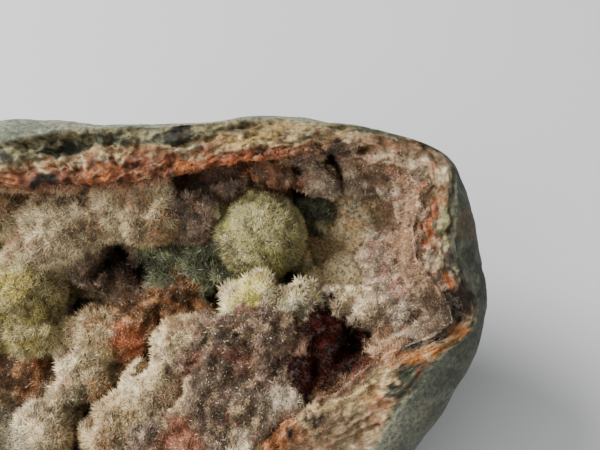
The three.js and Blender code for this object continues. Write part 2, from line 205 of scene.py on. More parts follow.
CRUST_STEP = 0.5  # grid of the crust's surface
CRUST_NOISE = 3.2  # noise moves the surface by less than this
CRUST_BOX = [[-64.5, -49.5, -24.5], [25.0, 15.0, 12.0]]
NEEDLES = 201000
RIM_NEEDLES = 24000
CRUST_BACK = 0.35  # no needle stands this near to the crust's back
NEEDLE_ROOT = 0.15  # how deep a needle stands in the crust
# the glints are painted highlights: near white colour at the needles' tips
GLINTS = 0.06  # share of the needles that catch the light
DARK_RED = KIND_NAMES.index("darkRed")
DARK_RED_PULL = 1.2  # how much further the dark red reaches than its clusters

VIVID = 1.25  # how much stronger colours are made, as highlights pale them
# the hollow's bare wall, darkened as painted shade so that the crevice under the ledge looks black
SHADED_BARE_ROCK = (46, 34, 28)  # the hollow's wall behind the crust
LIGHT_COLOUR = (1.0, 0.975, 0.92)
# Each light's place, size and power, in metres and watts
LIGHTS = {"window": [(-0.5, 0.14, 0.6), 0.5, 15.0], "fill": [(-0.42, -0.5, 0.62), 0.7, 6.5]}
LIT_POINT = (0.0, 0.0, 0.03)
SKY_COLOUR = (1.0, 0.985, 0.95, 1)
SKY_STRENGTH = 0.5
PAPER_COLOUR = (0.47, 0.485, 0.515, 1)
FLOOR_SIZE = 4
CAMERA_DISTANCE = 0.140
CAMERA_ELEVATION = math.radians(50)
CAMERA_LENS, CAMERA_SENSOR = 56, 36


# Noise


def swell(x, y, z, size):
    a, b, c = x / size, y / size, z / size
    first = np.sin(1.7 * a + 2.1 * np.sin(1.1 * b + 0.7 * c))
    second = np.sin(1.9 * b + 1.7 * np.sin(1.3 * c + 0.9 * a))
    third = np.sin(1.6 * c + 1.9 * np.sin(1.2 * a + 0.8 * b))
    return (first + second + third) / 3


def scattered(cells, salt):
    """A fixed number from 0 to 1 for each cell of a lattice."""
    h = cells[..., 0] * 374761393 + cells[..., 1] * 668265263 + cells[..., 2] * 2147483629
    h = (h + salt * 1274126177) & 0xFFFFFFFF
    h = ((h ^ (h >> 13)) * 1274126177) & 0xFFFFFFFF
    h = ((h ^ (h >> 15)) * 974634777) & 0xFFFFFFFF
    return (h ^ (h >> 16)) / 4294967295.0


def cloud(points, size, salt):
    """Smooth noise from -1 to 1 with features of that size."""
    p = points / size
    cell = np.floor(p).astype(np.int64)
    f = p - cell
    f = f * f * f * (f * (f * 6 - 15) + 10)
    total = np.zeros(len(points))
    for corner in np.ndindex(2, 2, 2):
        c = np.array(corner)
        weight = np.prod(np.where(c == 1, f, 1 - f), axis=1)
        total += weight * scattered(cell + c, salt)
    return total * 2 - 1


def clouds(points, size, salt, octaves, gain=0.5):
    total = np.zeros(len(points))
    for k in range(octaves):
        total += gain**k * cloud(points, size / 2**k, salt + k)
    return total


def tufts(points, size, salt):
    """The way from the nearest of many scattered points in units of size, and its fixed number
    from 0 to 1."""
    p = points / size
    cell = np.floor(p).astype(np.int64)
    nearest = np.full(len(points), 9.0)
    away, number = np.zeros_like(p), np.zeros(len(points))
    for step in np.ndindex(3, 3, 3):
        c = cell + (np.array(step) - 1)
        way = p - c - np.stack([scattered(c, salt + k) for k in range(3)], axis=1)
        gap = np.linalg.norm(way, axis=1)
        closer = gap < nearest
        nearest[closer] = gap[closer]
        away[closer] = way[closer]
        number[closer] = scattered(c[closer], salt + 3)
    return away, number


def pebbles(points, size, salt):
    """Distance to the nearest of many scattered points, 0 at each and about 1 between them."""
    return np.linalg.norm(tufts(points, size, salt)[0], axis=1)


def ease(value, low, high):
    t = np.clip((value - low) / (high - low), 0, 1)
    return t * t * (3 - 2 * t)


def normalised(vectors):
    return vectors / np.maximum(np.linalg.norm(vectors, axis=1, keepdims=True), 1e-9)


# Outlines and heights of the stone


def closed_spline(corners, steps):
    """Points along a closed centripetal spline through the corners."""
    corners = np.array(corners, float)
    n = len(corners)
    out = []
    for s in range(steps):
        at = s / steps * n
        i = int(at)
        t = at - i
        p0, p1, p2, p3 = (corners[(i + k) % n] for k in (-1, 0, 1, 2))
        d0, d1, d2 = (np.linalg.norm(b - a) ** 0.5 for a, b in ((p0, p1), (p1, p2), (p2, p3)))
        t1 = ((p1 - p0) / d0 - (p2 - p0) / (d0 + d1) + (p2 - p1) / d1) * d1
        t2 = ((p2 - p1) / d1 - (p3 - p1) / (d1 + d2) + (p3 - p2) / d2) * d1
        c2 = -3 * p1 + 3 * p2 - 2 * t1 - t2
        c3 = 2 * p1 - 2 * p2 + t1 + t2
        out.append(p1 + t1 * t + c2 * t * t + c3 * t**3)
    return np.array(out)


def around(angles, values):
    order = np.argsort(angles)
    angles, values = np.array(angles)[order], np.array(values)[order]
    return lambda a: np.interp(a, angles, values, period=2 * math.pi)


SPLINE = closed_spline(STONE_OUTLINE, 720) - STONE_MIDDLE[:2]
outline = around(np.arctan2(SPLINE[:, 1], SPLINE[:, 0]), np.linalg.norm(SPLINE, axis=1))
rim_width = around(np.radians([w[0] for w in RIM_WIDTHS]), [w[1] for w in RIM_WIDTHS])


def swelled(level, swells, x, y):
    for cx, cy, rise, spread in swells:
        level = level + rise * np.exp(-((x - cx) ** 2 + (y - cy) ** 2) / spread**2)
    return level


def break_height(x, y):
    drop = np.maximum(0, BREAK_TOP_Y - y)
    return swelled(BREAK_TOP + BREAK_RISE * (1 - np.exp(-drop / BREAK_DROP)), BREAK_SWELLS, x, y)


def floor_height(x, y):
    return swelled(FLOOR_LEVEL, FLOOR_SWELLS, x, y)


def from_middle(angle, radius, z):
    x = STONE_MIDDLE[0] + radius * np.cos(angle)
    y = STONE_MIDDLE[1] + radius * np.sin(angle)
    return np.stack([x, y, np.broadcast_to(z, x.shape)], axis=-1)


def skin_point(angle, latitude):
    """The stone's outside, where latitude runs from its back at -90 degrees to its front."""
    bulge = np.where(latitude > 0, FRONT_BULGE, BACK_BULGE)
    z = STONE_MIDDLE[2] + bulge * np.sin(latitude)
    return from_middle(angle, outline(angle) * np.cos(latitude), z)


def edge_latitude(angle):
    latitude = np.full_like(angle, 0.2)
    for _ in range(24):
        p = skin_point(angle, latitude)
        share = (break_height(p[:, 0], p[:, 1]) - STONE_MIDDLE[2]) / FRONT_BULGE
        latitude = (latitude + np.arcsin(np.clip(share, 0, 0.95))) / 2
    return latitude


def undercut(angle, outer, mouth):
    """How far the hollow reaches back under the rim."""
    thinness = np.minimum(1, (outer - mouth) / FULL_UNDERCUT_WIDTH)
    return thinness * (UNDERCUT + TOP_UNDERCUT * np.maximum(0, np.sin(angle)))


def hollow_point(angle, outer, mouth, share):
    edge = from_middle(angle, mouth, 0.0)
    rim_height = break_height(edge[:, 0], edge[:, 1])
    turn = share * math.pi / 2
    belly = undercut(angle, outer, mouth) * math.sin(math.pi * min(1, share / 0.55))
    p = from_middle(angle, mouth * math.cos(turn) ** 0.7 + belly, 0.0)
    wall = rim_height + (WALL_DEPTH - rim_height) * math.sin(turn)
    floor = floor_height(p[:, 0], p[:, 1])
    above = wall - floor
    softened = floor + (above + np.hypot(above, FLOOR_SOFTNESS)) / 2
    p[:, 2] = rim_height if share == 0 else softened
    return p


def weathered(p):
    x, y, z = p.T
    worn = SKIN_SWELL * swell(x, y, z, 9) + SKIN_WEAR * swell(z, x, y, 2.6)
    return p + normalised(p - STONE_MIDDLE) * worn[:, None]


def to_row(points):
    """From the face frame in millimetres to the row frame in metres."""
    return (points @ LEAN.T + FACE_ORIGIN) * MM


def linear(rgb):
    """A colour from 0 to 255, made more vivid, as linear values."""
    c = np.array(rgb, float) / 255
    c = np.where(c <= 0.04045, c / 12.92, ((c + 0.055) / 1.055) ** 2.4)
    grey = c @ np.array([0.2126, 0.7152, 0.0722])
    return np.clip(grey + VIVID * (c - grey), 0.002, 0.95)


def blended(a, b, amount):
    return a + (b - a) * amount[:, None]


def painted(base, rgb, amount):
    """The base colours, covered with another colour by an amount from 0 to 1."""
    return blended(base, linear(rgb), np.clip(amount, 0, 1))


def layered(colour, layers):
    """Colours, covered with layers, each another colour and its amount."""
    for rgb, amount in layers:
        colour = painted(colour, rgb, amount)
    return colour


def plain(rgb, count):
    return np.tile(linear(rgb), (count, 1))


def placed(name, data):
    made = bpy.data.objects.new(name, data)
    bpy.context.scene.collection.objects.link(made)
    return made


def mesh_object(name, points, faces, colours):
    """A mesh object at the origin, with a colour for each point."""
    mesh = bpy.data.meshes.new(name)
    count, corners = faces.shape
    mesh.vertices.add(len(points))
    mesh.vertices.foreach_set("co", points.astype(np.float32).ravel())
    mesh.loops.add(count * corners)
    mesh.loops.foreach_set("vertex_index", faces.astype(np.int32).ravel())
    mesh.polygons.add(count)
    mesh.polygons.foreach_set("loop_start", np.arange(0, count * corners, corners, dtype=np.int32))
    mesh.update(calc_edges=True)
    mesh.validate()
    tint = mesh.color_attributes.new("tint", "FLOAT_COLOR", "POINT")
    rgba = np.concatenate([np.clip(colours, 0, 1), np.ones((len(colours), 1))], axis=1)
    tint.data.foreach_set("color", rgba.astype(np.float32).ravel())
    return placed(name, mesh)


def shade_smooth(made):
    made.data.polygons.foreach_set("use_smooth", np.ones(len(made.data.polygons), bool))


def grid_faces(rows, columns, first):
    """Quads between rows of a closed band, whose points start at index first."""
    r, c = np.meshgrid(np.arange(rows - 1), np.arange(columns), indexing="ij")
    a = first + r * columns + c
    b = first + r * columns + (c + 1) % columns
    return np.stack([a, a + columns, b + columns, b], axis=-1).reshape(-1, 4)


# The stone

STONE_AROUND = 720
HOLLOW_ROWS = 9
RIM_ROWS = 40
SKIN_ROWS = 54


def facing(angle, degrees, spread):
    """1 in a direction in degrees, falling off on both sides."""
    away = (np.degrees(angle) - degrees + 180) % 360 - 180
    return np.exp(-((away / spread) ** 2))


def spot(angle, share, degrees, spread, middle, half):
    """A soft-edged patch on the rim, round a direction and a share of the rim's width."""
    return facing(angle, degrees, spread) * np.exp(-(((share - middle) / half) ** 2))


def along_rim(angle, width, share):
    """Where to look up noise for the rock's layers, which run long and thin round the hollow."""
    return np.stack([28 * np.cos(angle), 28 * np.sin(angle), 1.5 * width * share], axis=1)


def broken_rim(angle, outer, mouth, share, edge_z):
    """Points of the broken rim, from the hollow's mouth at share 0 to the skin at 1."""
    p = from_middle(angle, mouth + (outer - mouth) * share, 0.0)
    flat = np.stack([p[:, 0], p[:, 1], np.zeros(len(p))], axis=1)
    x, y = p[:, 0], p[:, 1]
    width = outer - mouth
    top, right = facing(angle, 92, 40), facing(angle, 18, 30)
    along = flat + (along_rim(angle, width, share) - flat) * (1 - 0.9 * right)[:, None]
    rough = 0.7 * clouds(along, 4.4, 40, 5, 0.6) + 0.5 * clouds(flat, 2.1, 46, 3, 0.6)
    grains = 0.5 - pebbles(flat, 1.6, 50)
    # layers break off at different heights
    layer = np.floor(3.6 * share + 1.2 * clouds(along, 5.0, 60, 3) + 0.5) / 3.6
    pits = np.maximum(0, clouds(along, 3.0, 66, 3) - 0.35)
    height = rough + (0.45 + 0.35 * right) * grains - 1.8 * pits
    height += (1.0 + 0.8 * top - 0.95 * right) * (layer - share)
    height += 0.7 * top * ease(share, 0.4, 0.1) - 2.2 * spot(angle, share, 7.6, 4.5, 0.2, 0.4)
    height *= np.minimum(1, width / 6)
    calm = np.minimum(1, (1 - share) / 0.12) * (0.3 + 0.7 * np.minimum(1, share / 0.08))
    z = break_height(x, y) + height * calm
    p[:, 2] = z + (edge_z - break_height(x, y)) * np.maximum(0, share - 0.8) / 0.2
    return p


def rim_colours(angle, width, share, p):
    """Iron stain by the hollow, cream and tan rock, and dark rock next to the skin."""
    top = facing(angle, 92, 36)
    where = p + (along_rim(angle, width, share) - p) * top[:, None]
    wide, middle = clouds(where, 6.5, 140, 3), clouds(where, 2.6, 144, 4, 0.6)
    fine, speckle = clouds(p, 1.4, 148, 3, 0.6), clouds(p, 0.8, 152, 2)
    a = angle + np.radians(2.5 * clouds(p, 4.0, 156, 3))
    degrees = np.degrees(a)
    right = ease(facing(a, 22, 26), 0.25, 0.75)
    below = ease(facing(a, -24, 26), 0.25, 0.75)
    lower = ease(-degrees, 10, 16) * ease(degrees, -80, -60)
    lowest = ease(-degrees, 16, 24) * lower
    s = share + (0.12 + 0.14 * right) * wide + 0.12 * middle
    reach = 0.34 - 0.3 * right - 0.34 * below + 0.25 * facing(a, 127, 8)
    stain = ease(reach - s, -0.05, 0.05)
    bright = facing(a, 100, 6.5) + facing(a, 75, 4) + facing(a, 132, 7)
    rock = ease(s, 0.55, 0.66) * ease(top + facing(a, 180, 50), 0.2, 0.5)
    edge = 0.8 + 0.14 * below
    rock = np.maximum(rock, ease(s, edge, edge + 0.1)) * (1 - 0.9 * facing(a, 57, 9))
    black = spot(a, share, 108, 6, 0.66, 0.16) + spot(a, share, 81, 6, 0.72, 0.2)
    orange = spot(a, share, 23.5, 2, 0.3, 0.14) + spot(a, share, 13, 2, 0.5, 0.2)
    vein = ease(facing(a, 1.8, 1.5), 0.35, 0.7) * ease(share, 0.97, 0.9)
    # painted shade: the dip in the rim at the right, and a dark spot at the top
    hollow_shade = spot(a, share, 8, 4.2, 0.2, 0.75) + spot(a, share, 117, 3, 0.12, 0.14)
    hollow_shade = ease(hollow_shade + 0.25 * fine, 0.2, 0.5)
    pale = ease(-speckle, 0.55, 0.85) * (1 - rock) * (1 - hollow_shade) * (1 - 0.6 * stain)
    layers = [
        # cream and tan rock
        [(204, 190, 158), ease(middle, 0.1, 0.4)],
        [(138, 108, 82), ease(-middle, 0.1, 0.45)],
        [(162, 138, 98), facing(a, 60, 9) * ease(s, 0.15, 0.3) * 0.9],
        [(210, 200, 172), spot(a, s, 77, 3.5, 0.36, 0.16)],
        # pinkish crystals at the right
        [(148, 122, 95), right],
        [(128, 92, 70), right * ease(fine, 0.05, 0.4) * 0.8],
        [(196, 180, 154), right * ease(-fine, 0.15, 0.5) * 0.8],
        [(92, 74, 58), right * ease(-middle, 0.2, 0.5) * 0.8],
        # cream rock with pink and orange veins at the lower right
        [(202, 182, 144), below],
        [(196, 154, 128), below * ease(wide, -0.05, 0.25) * 0.8],
        [(150, 108, 78), below * ease(-middle, 0.25, 0.5) * 0.8],
        [(172, 120, 84), below * ease(np.abs(middle + 0.1), 0.07, 0.0) * 0.8],
        [(174, 116, 80), ease(spot(a, share, -27, 6.5, 0.2, 0.36), 0.35, 0.6) * 0.9],
        [(146, 88, 66), ease(fine + 0.5 * middle, 0.3, 0.6) * (right + 0.4 * below) * 0.8],
        # iron stain
        [(122, 78, 57), stain],
        [(88, 54, 41), stain * ease(fine, 0.0, 0.35)],
        [(146, 114, 88), stain * ease(-fine, 0.3, 0.55) * 0.7],
        [(166, 104, 70), stain * bright * ease(middle, -0.4, 0.1) * 0.9],
        [(162, 98, 68), facing(a, 61, 9) * ease(0.17 - share, -0.03, 0.03) * 0.8],
        # painted shade at the top right, brown and nearly black near the mouth; then brown and
        # pale places
        [(108, 80, 58), spot(a, s, 48, 5, 0.2, 0.35) * 0.9],
        [(52, 43, 35), ease(spot(a, share, 44.5, 3.2, 0.15, 0.4) + 0.3 * fine, 0.3, 0.65)],
        [(114, 86, 67), spot(a, s, 40.5, 3.4, 0.3, 0.5) * 0.9],
        [(206, 186, 160), spot(a, share, 35.5, 2.5, 0.35, 0.3) * 0.7],
        # greyer rock at the bottom
        [(128, 110, 90), lower * ease(s, 0.1, 0.35) * 0.75],
        [(98, 100, 86), lowest * ease(s, 0.66, 0.8) * 0.9],
        # dark rock next to the skin, nearly black in places
        [(104, 102, 82), rock],
        [(140, 132, 104), rock * ease(middle, 0.05, 0.35) * 0.9],
        [(52, 54, 44), rock * ease(-middle - 0.4 * fine, 0.05, 0.4)],
        [(34, 36, 29), ease(black + 0.7 * middle + 0.3 * fine, 0.5, 0.85) * 0.95],
        [(58, 62, 50), ease(spot(a, s, -4, 4, 0.85, 0.3) + 0.5 * fine, 0.4, 0.65)],
        [(166, 164, 126), ease(spot(a, s, 23, 4, 0.72, 0.14), 0.4, 0.7)],
        [(64, 62, 52), ease(spot(a, share, 17, 6, 0.95, 0.42) + 0.4 * fine, 0.3, 0.6)],
        [(74, 76, 66), facing(a, 24, 15) * ease(share, 0.83, 0.9) * 0.9],
        # orange spots and a vein
        [(164, 98, 68), ease(orange + 0.4 * fine, 0.35, 0.6)],
        [(172, 116, 76), vein * 0.9],
        # painted shade in the dip of the rim at the right and in a dark spot at the top, and
        # specks
        [(46, 34, 27), hollow_shade],
        [(44, 34, 28), ease(speckle, 0.5, 0.8) * 0.5],
        [(220, 206, 180), 0.5 * pale],
    ]
    return layered(plain((170, 146, 114), len(p)), layers)


def skin_colours(p):
    """Grey-green skin, streaked and veined, with painted shade darkening its right side."""
    wide, middle = clouds(p, 14.0, 160, 3), clouds(p, 4.5, 164, 4, 0.6)
    streak = clouds(p * (0.45, 1.3, 0.8), 3.6, 182, 4, 0.6)
    fine = clouds(p, 1.3, 168, 3, 0.6)
    right = ease(p[:, 0] + 6 * wide, 8, 22)
    low = ease(-p[:, 1] + 4 * wide, 14, 30) * right
    vein = ease(np.abs(clouds(p, 11.0, 172, 4, 0.6)), 0.02, 0.0)
    layers = [
        [(120, 125, 110), ease(middle, 0, 0.5) * 0.8],
        [(156, 155, 138), ease(streak, 0.1, 0.6) * 0.7],
        [(104, 109, 97), ease(-streak, 0.15, 0.6) * 0.7],
        # painted shade: the right side, turned away from the light, is darker
        [(80, 83, 72), right * 0.9],
        [(110, 114, 100), right * ease(streak, 0.05, 0.45) * 0.8],
        [(52, 56, 48), right * ease(-middle, 0.05, 0.5) * 0.8],
        [(114, 118, 109), low * ease(streak, -0.4, 0.3) * 0.8],
        [(76, 80, 71), ease(fine, 0.35, 0.7) * 0.4],
        [(62, 65, 56), vein * 0.7],
        [(138, 120, 98), ease(clouds(p, 9.0, 176, 4), 0.6, 0.9) * 0.35],
    ]
    return layered(plain((140, 143, 128), len(p)), layers)


def edges_round(angle):
    """The latitude of the skin's edge, and the radii of the rim's outer and inner edge."""
    edge = edge_latitude(angle)
    outer = outline(angle) * np.cos(edge)
    ring = np.stack([30 * np.cos(angle), 30 * np.sin(angle), np.zeros_like(angle)], axis=1)
    ragged = 0.4 + 0.9 * clouds(ring, 3.6, 71, 4, 0.6)
    mouth = outer - rim_width(angle) - np.maximum(ragged, -0.15)
    chipped = edge - 0.012 * (1 + clouds(ring, 2.5, 75, 4, 0.6)).clip(0)
    return chipped, outline(angle) * np.cos(chipped), mouth


def build_stone():
    angle = np.linspace(-math.pi, math.pi, STONE_AROUND, endpoint=False)
    chipped, outer, mouth = edges_round(angle)
    lip = weathered(skin_point(angle, chipped))
    rows, colours = [], []
    for k in range(1, HOLLOW_ROWS + 1):
        rows.append(hollow_point(angle, outer, mouth, 1 - k / HOLLOW_ROWS))
        colours.append(plain(SHADED_BARE_ROCK, STONE_AROUND))
    for k in range(RIM_ROWS):
        share = k / RIM_ROWS
        if k:
            rows.append(broken_rim(angle, outer, mouth, share, lip[:, 2]))
            colours.append(None)
        colours[-1] = rim_colours(angle, outer - mouth, share, rows[-1])
    for k in range(SKIN_ROWS):
        share = (k / SKIN_ROWS) ** 1.35
        p = weathered(skin_point(angle, chipped - share * (chipped + math.pi / 2)))
        pits = np.maximum(0, clouds(p, 2.2, 90, 3) - 0.55)
        fine = 0.06 * clouds(p, 1.4, 95, 3) - 0.35 * pits
        rows.append(p + normalised(p - STONE_MIDDLE) * (fine * min(1, k / 3))[:, None])
        colours.append(skin_colours(p))
    floor = hollow_point(angle[:1], outer[:1], mouth[:1], 1.0)
    floor[:, :2] = STONE_MIDDLE[:2]
    floor[:, 2] = floor_height(*STONE_MIDDLE[:2]) + 0.2
    back = weathered(skin_point(angle[:1], np.array([-math.pi / 2])))
    points = np.concatenate([floor, *rows, back])
    colour = np.concatenate([colours[0][:1], *colours, colours[-1][:1]])
    row = to_row(points)
    row[:, 2] = np.maximum(row[:, 2], 0)
    made = mesh_object("weathered_stone", row, grid_faces(len(rows), STONE_AROUND, 1), colour)
    close_poles(made)
    return made


def close_poles(made):
    """Adds the triangles round the two poles of the stone's mesh."""
    bm = bmesh.new()
    bm.from_mesh(made.data)
    bm.verts.ensure_lookup_table()
    end = len(bm.verts) - 1
    last = end - STONE_AROUND
    for i in range(STONE_AROUND):
        n = (i + 1) % STONE_AROUND
        bm.faces.new((bm.verts[0], bm.verts[1 + i], bm.verts[1 + n]))
        bm.faces.new((bm.verts[last + i], bm.verts[end], bm.verts[last + n]))
    bmesh.ops.recalc_face_normals(bm, faces=bm.faces)
    bm.to_mesh(made.data)
    bm.free()
    shade_smooth(made)


# The crust

ALL = np.array([c for group in CLUSTERS.values() for c in group])
ALL_KIND = np.array([KIND_NAMES.index(k) for k, group in CLUSTERS.items() for _ in group])
PALETTES = np.array([[linear(rgb) for rgb in row] for row in COLOURS.values()])
LUMPS, BLEND, LENGTH, WIDTH, DENSITY, SPREAD, SPRAY = np.array(list(SHAPES.values())).T


def smooth_min(a, b, softness):
    h = np.clip(0.5 + 0.5 * (b - a) / softness, 0, 1)
    return b + (a - b) * h - softness * h * (1 - h)


class Hollow:
    """Places in the hollow, as distances that are positive inside a space."""

    def __init__(self, x, y, z):
        dx, dy = x - STONE_MIDDLE[0], y - STONE_MIDDLE[1]
        self.angle = np.arctan2(dy, dx)
        self.radius = np.hypot(dx, dy)
        ring = np.linspace(-math.pi, math.pi, 1440, endpoint=False)
        outer = outline(ring) * np.cos(edge_latitude(ring))
        mouth = outer - rim_width(ring)
        edge = from_middle(ring, mouth, 0.0)
        table = [mouth, break_height(edge[:, 0], edge[:, 1]), undercut(ring, outer, mouth)]
        turned = [np.interp(self.angle, ring, values, period=2 * math.pi) for values in table]
        self.mouth, self.rim, reach = turned
        self.floor = floor_height(x, y)
        self.z = z
        depth = np.clip((z - self.rim) / (WALL_DEPTH - self.rim), 0, 0.999)
        share = np.arcsin(depth) / (math.pi / 2)
        self.narrow = (1 - depth**2) ** 0.35
        self.belly = reach * np.sin(math.pi * np.minimum(1, share / 0.55))
        self.flush = ease(facing(self.angle, *FLUSH), 0.3, 0.8)

    def space(self):
        """The hollow, and a little of the stone round it, so that the crust grips the wall."""
        wall = self.mouth * self.narrow + self.belly - self.radius + GRIP
        return np.minimum(wall, self.z - self.floor + GRIP)

    def inside_lining(self, swelling):
        degrees, spread, more = THICK_LINING
        lining = LINING + more * facing(self.angle, degrees, spread)
        inner = (self.mouth - lining - swelling) * self.narrow + self.belly - self.radius
        shallow, deep, less = THIN_LINING
        floor_lining = FLOOR_LINING - less * ease(-self.floor, shallow, deep) + swelling
        above = self.z - self.floor - np.maximum(floor_lining, LEAST_LINING)
        void = smooth_min(inner, above, FLOOR_SOFTNESS)
        slope = LIP_BEVEL * (self.radius - self.mouth + LINING) * (1 - FLUSH_LEVEL * self.flush)
        drop = LIP_DROP - FLUSH_RISE * self.flush
        return np.maximum(void, self.z - (self.rim - drop + slope + 0.7 * swelling))

    def crevice(self, wander):
        first, last, width, depth = CREVICE
        middle, half = (first + last) / 2, (last - first) / 2
        fade = 1 - ((np.degrees(self.angle) - middle) / half) ** 2
        reach = width * np.maximum(fade, -1) + wander
        return np.minimum(self.radius - self.mouth + reach, self.z - (self.rim - depth))


def cluster_space(x, y, z, lumps, bend):
    """Distance into the nearest cluster's ball. Lumps raise and lower each kind's surface, and
    bend is how far a ball is out of round in x, y and z."""
    best = np.full(x.shape, -9.0)
    for (cx, cy, cz, radius), kind in zip(ALL, ALL_KIND):
        reach = TIP_REACH * radius - 0.8 * LENGTH[kind]
        out = [p - c + LUMPS[kind] * b for p, c, b in zip((x, y, z), (cx, cy, cz), bend)]
        away = np.sqrt(out[0] ** 2 + out[1] ** 2 + out[2] ** 2)
        best = -smooth_min(-best, away - reach - lumps * LUMPS[kind], BLEND[kind])
    return best


def crust_space(x, y, z, lumps, bend, swelling, wander):
    """Positive inside the crust."""
    hollow = Hollow(x, y, z)
    void = np.minimum(hollow.inside_lining(swelling), -cluster_space(x, y, z, lumps, bend))
    for gx, gy, radius, bottom in GAPS:
        gap = radius + wander - np.hypot(x - gx + bend[0], y - gy + bend[1])
        void = np.maximum(void, smooth_min(gap, z - bottom, 3.0))
    void = np.maximum(void, hollow.crevice(wander))
    return np.minimum(hollow.space(), -void)


def lumpy(points):
    """Lumps of three sizes, the middle ones under the needles' tufts."""
    big, middle = 0.55 - pebbles(points, 3.2, 7), 0.55 - pebbles(points, *TUFTS)
    return 0.8 * big + 0.6 * middle + 0.2 * clouds(points, 1.1, 12, 2)


def surface_net(field, low, step):
    """The surface where a field on a grid crosses zero, as points and quads."""
    inside = field > 0
    shape = np.array(field.shape)
    corners = list(np.ndindex(2, 2, 2))
    at = {c: tuple(slice(o, n - 1 + o) for o, n in zip(c, shape)) for c in corners}
    count = sum(inside[at[c]].astype(np.int8) for c in corners)
    cells = np.argwhere((count > 0) & (count < 8))
    index = np.full(shape - 1, -1)
    index[tuple(cells.T)] = np.arange(len(cells))
    total, crossings = np.zeros((len(cells), 3)), np.zeros(len(cells))
    for a in corners:
        for axis in range(3):
            if a[axis]:
                continue
            b = tuple(1 if k == axis else a[k] for k in range(3))
            fa, fb = field[tuple((cells + a).T)], field[tuple((cells + b).T)]
            crossed = (fa > 0) != (fb > 0)
            t = np.where(crossed, fa / np.where(crossed, fa - fb, 1), 0)
            place = np.array(a) + t[:, None] * (np.array(b) - np.array(a))
            total += place * crossed[:, None]
            crossings += crossed
    points = low + step * (cells + total / crossings[:, None])
    quads = []
    for axis in range(3):
        ahead = [slice(None)] * 3
        ahead[axis] = slice(1, None)
        behind = [slice(None)] * 3
        behind[axis] = slice(None, -1)
        changed = np.argwhere(inside[tuple(ahead)] != inside[tuple(behind)])
        b, c = (axis + 1) % 3, (axis + 2) % 3
        ring = []
        for back_b, back_c in ((1, 1), (0, 1), (0, 0), (1, 0)):
            cell = changed.copy()
            cell[:, b] -= back_b
            cell[:, c] -= back_c
            ring.append(index[tuple(cell.T)])
        quad = np.stack(ring, axis=1)
        inward = inside[tuple(ahead)][tuple(changed.T)]
        quad[inward] = quad[inward][:, ::-1]
        quads.append(quad)
    return points, np.concatenate(quads)


def edges_of(quads):
    return np.concatenate([quads[:, [k, (k + 1) % 4]] for k in range(4)])


def largest_part(points, quads):
    """Leaves out crumbs that hang loose and bubbles that are sealed in."""
    edges = edges_of(quads)
    label = np.arange(len(points))
    while True:
        low = np.minimum(label[edges[:, 0]], label[edges[:, 1]])
        new = label.copy()
        np.minimum.at(new, edges[:, 0], low)
        np.minimum.at(new, edges[:, 1], low)
        new = new[new]
        if (new == label).all():
            break
        label = new
    keep = label == np.bincount(label).argmax()
    moved = np.cumsum(keep) - 1
    return points[keep], moved[quads[keep[quads[:, 0]]]]


def relaxed(points, quads, amount):
    edges = edges_of(quads)
    count = np.bincount(edges.ravel(), minlength=len(points))[:, None]
    total = np.zeros_like(points)
    for k in range(3):
        total[:, k] = np.bincount(edges[:, 0], points[edges[:, 1], k], len(points))
        total[:, k] += np.bincount(edges[:, 1], points[edges[:, 0], k], len(points))
    return points + amount * (total / count - points)


def crust_surface():
    low, high = np.array(CRUST_BOX)
    steps = [np.arange(a, b, CRUST_STEP) for a, b in zip(low, high)]
    x, y = np.meshgrid(steps[0], steps[1], indexing="ij")
    x, y, z = x[:, :, None], y[:, :, None], steps[2][None, None, :]
    field = crust_space(x, y, z, 0.0, (0.0, 0.0, 0.0), 0.0, 0.0)
    close = np.argwhere(np.abs(field) < CRUST_NOISE)
    points = low + close * CRUST_STEP
    lumps = lumpy(points)
    bend = [1.1 * clouds(points, 5.0, 20 + 3 * k, 3) for k in range(3)]
    swelling = 0.8 * clouds(points, 4.2, 30, 3) + 0.7 * lumps
    wander = 1.5 * clouds(points, 3.0, 34, 3)
    field[tuple(close.T)] = crust_space(*points.T, lumps, bend, swelling, wander)
    points, quads = surface_net(field, low, CRUST_STEP)
    points, quads = largest_part(points, quads)
    return relaxed(points, quads, 0.5), quads


def nearest_clusters(points):
    """For each point its nearest and second nearest cluster, and how far out it is from each."""
    first, second = np.full(len(points), 99.0), np.full(len(points), 99.0)
    one, two = np.zeros(len(points), int), np.zeros(len(points), int)
    for k, (x, y, z, r) in enumerate(ALL):
        pull = DARK_RED_PULL if ALL_KIND[k] == DARK_RED else 1.0
        out = np.linalg.norm(points - (x, y, z), axis=1) / (r * pull)
        ahead = out < first
        between = ~ahead & (out < second)
        second = np.where(ahead, first, np.where(between, out, second))
        two = np.where(ahead, one, np.where(between, k, two))
        first, one = np.where(ahead, out, first), np.where(ahead, k, one)
    return one, two, first, second


